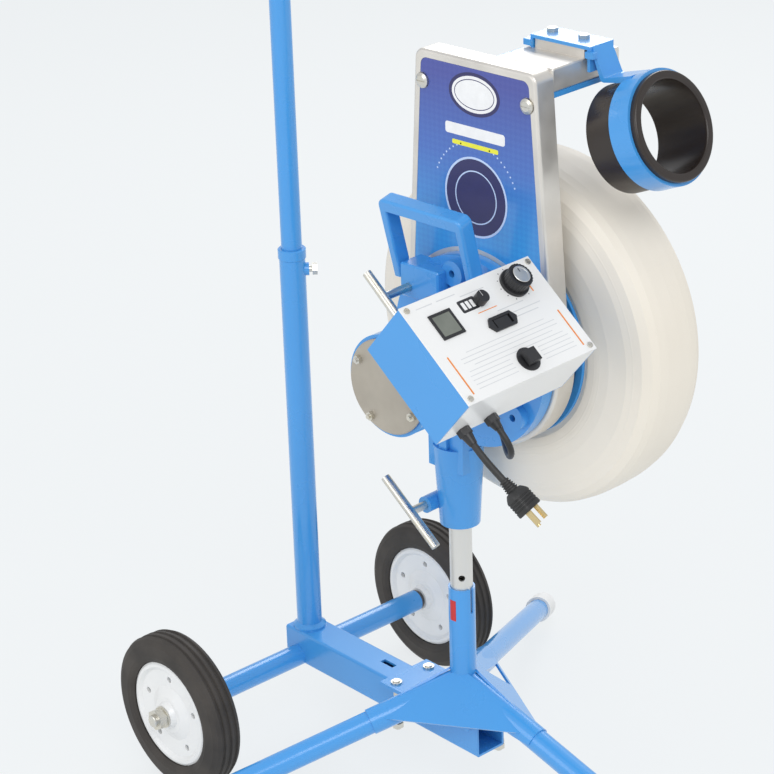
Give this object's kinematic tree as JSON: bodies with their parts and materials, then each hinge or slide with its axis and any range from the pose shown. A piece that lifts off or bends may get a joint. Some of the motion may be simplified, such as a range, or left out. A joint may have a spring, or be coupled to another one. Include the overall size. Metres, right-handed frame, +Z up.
{
  "type": "ball pitching machine",
  "caption": "Wheeled tripod ball pitching machine: a motor-driven rubber wheel throws balls fed through a short chute, with a tilting and swivelling head and a telescoping pull handle.",
  "frame": {"origin": "on the floor, in the middle of the machine's footprint", "axes": "+Z up, +Y the way the ball leaves, +X along the throwing wheel's shaft towards the tyre"},
  "size_m": [0.8734, 0.9033, 1.1985],
  "materials": {
    "blue_paint": "gloss",
    "white_paint": "gloss",
    "cast_aluminium": "satin",
    "aluminium_tube": "satin",
    "zinc_steel": "satin",
    "motor_steel": "satin",
    "dark_steel": "satin",
    "cream_rubber": "matte",
    "black_tyre": "matte",
    "black_rubber": "matte",
    "white_rubber": "matte",
    "black_plastic": "satin",
    "black_tube": "gloss",
    "label_print": "gloss",
    "pad_rubber": "matte",
    "circuit_green": "satin",
    "iron_core": "matte",
    "brass": "satin"
  },
  "bodies": {
    "stand": {"tripod_hub": "blue_paint", "leg_right": "blue_paint", "leg_left": "blue_paint", "leg_front": "blue_paint", "foot_caps": "white_rubber", "cart_beam": "blue_paint", "axle_rod": "zinc_steel", "axle_spacers": "dark_steel", "beam_clamps": "zinc_steel", "pole_lower": "blue_paint"},
    "cart_wheel_left": {"cart_tyre_left": "black_tyre", "cart_disc_left": "white_paint"},
    "cart_wheel_right": {"cart_tyre_right": "black_tyre", "cart_disc_right": "white_paint"},
    "pole": {"pole_upper": "blue_paint", "handle_grips": "black_rubber"},
    "pole_screw": {"pole_lock_screw": "zinc_steel"},
    "mast_body": {"mast": "aluminium_tube"},
    "yoke_body": {"yoke": "blue_paint", "carry_handle": "blue_paint"},
    "swivel_handle": {"swivel_clamp": "zinc_steel"},
    "tilt_handle": {"tilt_clamp": "zinc_steel"},
    "head": {"head_housing": "cast_aluminium", "label_plate": "label_print", "retaining_ring": "blue_paint", "motor_can": "motor_steel", "motor_end_cap": "cast_aluminium", "motor_bolts": "zinc_steel", "motor_magnets": "iron_core", "shaft_bearings": "zinc_steel", "top_arm": "cast_aluminium", "pad_plate": "blue_paint", "compression_pad": "pad_rubber", "chute_bridge": "blue_paint", "bridge_spacer": "cast_aluminium", "chute_strap": "blue_paint", "feed_chute": "black_tube", "control_case": "blue_paint", "control_cover": "white_paint", "control_bracket": "blue_paint", "head_screws": "zinc_steel", "display": "black_plastic", "switch_bodies": "black_plastic", "circuit_board": "circuit_green", "power_gland": "black_plastic", "power_cord": "black_rubber", "plug_body": "black_rubber", "plug_pins": "brass", "motor_lead_glands": "black_plastic", "motor_lead": "black_rubber"},
    "throwing_wheel": {"drive_shaft": "zinc_steel", "motor_rotor": "iron_core", "throwing_tyre": "cream_rubber", "wheel_rim": "blue_paint", "wheel_hub": "cast_aluminium", "wheel_bolts": "zinc_steel"},
    "speed_dial": {"speed_knob": "black_plastic"},
    "selector": {"selector_knob": "black_plastic"},
    "rocker": {"power_rocker": "black_plastic"},
    "breaker": {"breaker_button": "black_plastic"}
  },
  "joints": [
    {"name": "mast_height", "type": "slide", "parent": "stand", "child": "mast_body", "axis": [0, 0, 1], "range_m": [-0.06, 0.03]},
    {"name": "head_swivel", "type": "hinge", "parent": "mast_body", "child": "yoke_body", "pos_m": [0, 0.0499, 0.43], "axis": [0, 0, 1], "range_deg": [-115, 135]},
    {"name": "head_tilt", "type": "hinge", "parent": "yoke_body", "child": "head", "pos_m": [0, 0.0173, 0.6165], "axis": [1, 0, 0], "range_deg": [-8, 40]},
    {"name": "throwing_wheel_spin", "type": "hinge", "parent": "head", "child": "throwing_wheel", "pos_m": [0.09955, 0.0173, 0.6165], "axis": [1, 0, 0], "continuous": true},
    {"name": "cart_wheel_left_spin", "type": "hinge", "parent": "stand", "child": "cart_wheel_left", "pos_m": [-0.19805, 0.35007, 0.1016], "axis": [0.9982, -0.0593, 0], "continuous": true},
    {"name": "cart_wheel_right_spin", "type": "hinge", "parent": "stand", "child": "cart_wheel_right", "pos_m": [0.2322, 0.32451, 0.1016], "axis": [0.9982, -0.0593, 0], "continuous": true},
    {"name": "pole_height", "type": "slide", "parent": "stand", "child": "pole", "axis": [0, 0, 1], "range_m": [-0.25, 0.1]},
    {"name": "pole_screw_turn", "type": "hinge", "parent": "stand", "child": "pole_screw", "pos_m": [0.01707, 0.33729, 0.627], "axis": [0.7266, -0.6871, 0], "range_deg": [-360, 720]},
    {"name": "swivel_clamp_turn", "type": "hinge", "parent": "yoke_body", "child": "swivel_handle", "pos_m": [-0.06, 0.0719, 0.4145], "axis": [-1, 0, 0], "range_deg": [-90, 360]},
    {"name": "tilt_clamp_turn", "type": "hinge", "parent": "yoke_body", "child": "tilt_handle", "pos_m": [-0.08, 0.0839, 0.685], "axis": [-1, 0, 0], "range_deg": [-90, 360]},
    {"name": "speed_dial_turn", "type": "hinge", "parent": "head", "child": "speed_dial", "pos_m": [-0.0748, -0.11228, 0.75428], "axis": [0, -0.6396, 0.7687], "range_deg": [-150, 150]},
    {"name": "selector_turn", "type": "hinge", "parent": "head", "child": "selector", "pos_m": [-0.1318, -0.11202, 0.74928], "axis": [0, -0.6396, 0.7687], "range_deg": [-60, 60]},
    {"name": "power_rocker_tilt", "type": "hinge", "parent": "head", "child": "rocker", "pos_m": [-0.1218, -0.13074, 0.72331], "axis": [0, -0.7687, -0.6396], "range_deg": [-8, 8]},
    {"name": "breaker_push", "type": "slide", "parent": "head", "child": "breaker", "axis": [0, -0.6396, 0.7687], "range_m": [-0.002, 0], "stiffness_N_per_m": 400, "springref_m": 0.0005}
  ]
}
